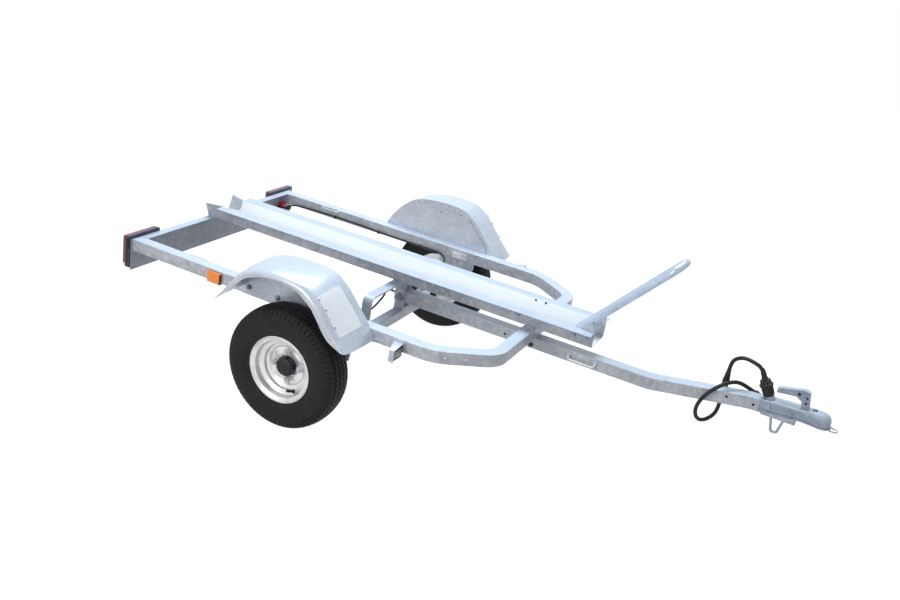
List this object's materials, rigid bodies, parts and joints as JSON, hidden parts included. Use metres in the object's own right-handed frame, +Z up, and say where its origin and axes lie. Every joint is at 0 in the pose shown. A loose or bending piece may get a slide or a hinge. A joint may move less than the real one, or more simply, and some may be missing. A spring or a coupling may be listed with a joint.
{
  "type": "motorcycle trailer",
  "caption": "Light single-axle tilting trailer with a central wheel channel, a bent square-tube frame, fenders, a front hoop and a ball coupling, parked nose-down on a rod foot.",
  "frame": {"origin": "on the floor, under the middle of the trailer's whole length and width", "axes": "+X towards the coupling, +Y to the trailer's left, +Z up"},
  "size_m": [2.4012, 1.28, 0.6137],
  "materials": {
    "galvanised_steel": "satin",
    "sheet_steel": "satin",
    "wheel_paint": "satin",
    "zinc": "satin",
    "tyre": "matte",
    "black_plastic": "matte",
    "red_lens": "gloss",
    "amber_lens": "gloss",
    "clear_lens": "gloss",
    "lead_rubber": "matte"
  },
  "bodies": {
    "frame": {"perimeter_frame": "galvanised_steel", "rear_plate": "sheet_steel", "wheel_channel": "sheet_steel", "support_strap": "galvanised_steel", "pivot_bracket": "galvanised_steel", "pivot_bolt": "zinc", "axle_beam": "galvanised_steel", "hoop": "galvanised_steel", "axle_bracket_right": "galvanised_steel", "axle_bracket_left": "galvanised_steel", "swing_arm_right": "galvanised_steel", "swing_arm_left": "galvanised_steel", "hoop_plate_right": "galvanised_steel", "hoop_plate_left": "galvanised_steel", "fender_right": "sheet_steel", "fender_left": "sheet_steel", "lamp_base_right": "black_plastic", "lamp_base_left": "black_plastic", "lamp_lens_right": "red_lens", "lamp_lens_left": "red_lens", "side_reflector_right": "amber_lens", "side_reflector_left": "amber_lens", "marker_bracket_right": "galvanised_steel", "marker_bracket_left": "galvanised_steel", "front_marker_right": "clear_lens", "front_marker_left": "clear_lens", "rail_lead_right": "lead_rubber", "rail_lead_left": "lead_rubber"},
    "drawbar": {"drawbar": "galvanised_steel", "coupling": "zinc", "coupling_handle": "zinc", "parking_foot": "galvanised_steel", "nose_ring": "galvanised_steel", "plug_holder": "zinc", "plug": "black_plastic", "lead_gland": "black_plastic", "lead_connector": "lead_rubber", "lead_lower": "lead_rubber", "lead_upper": "lead_rubber"},
    "wheel_right": {"tyre_right": "tyre", "rim_right": "wheel_paint", "hub_right": "zinc", "hub_cap_right": "black_plastic"},
    "wheel_left": {"tyre_left": "tyre", "rim_left": "wheel_paint", "hub_left": "zinc", "hub_cap_left": "black_plastic"}
  },
  "joints": [
    {"name": "bed_tilt", "type": "hinge", "parent": "frame", "child": "drawbar", "pos_m": [-0.32432, 0, 0.31095], "axis": [0, 1, 0], "range_deg": [0, 22]},
    {"name": "wheel_right_spin", "type": "hinge", "parent": "frame", "child": "wheel_right", "pos_m": [-0.45336, -0.557, 0.213], "axis": [0, 1, 0], "continuous": true},
    {"name": "wheel_left_spin", "type": "hinge", "parent": "frame", "child": "wheel_left", "pos_m": [-0.45336, 0.557, 0.213], "axis": [0, 1, 0], "continuous": true}
  ]
}
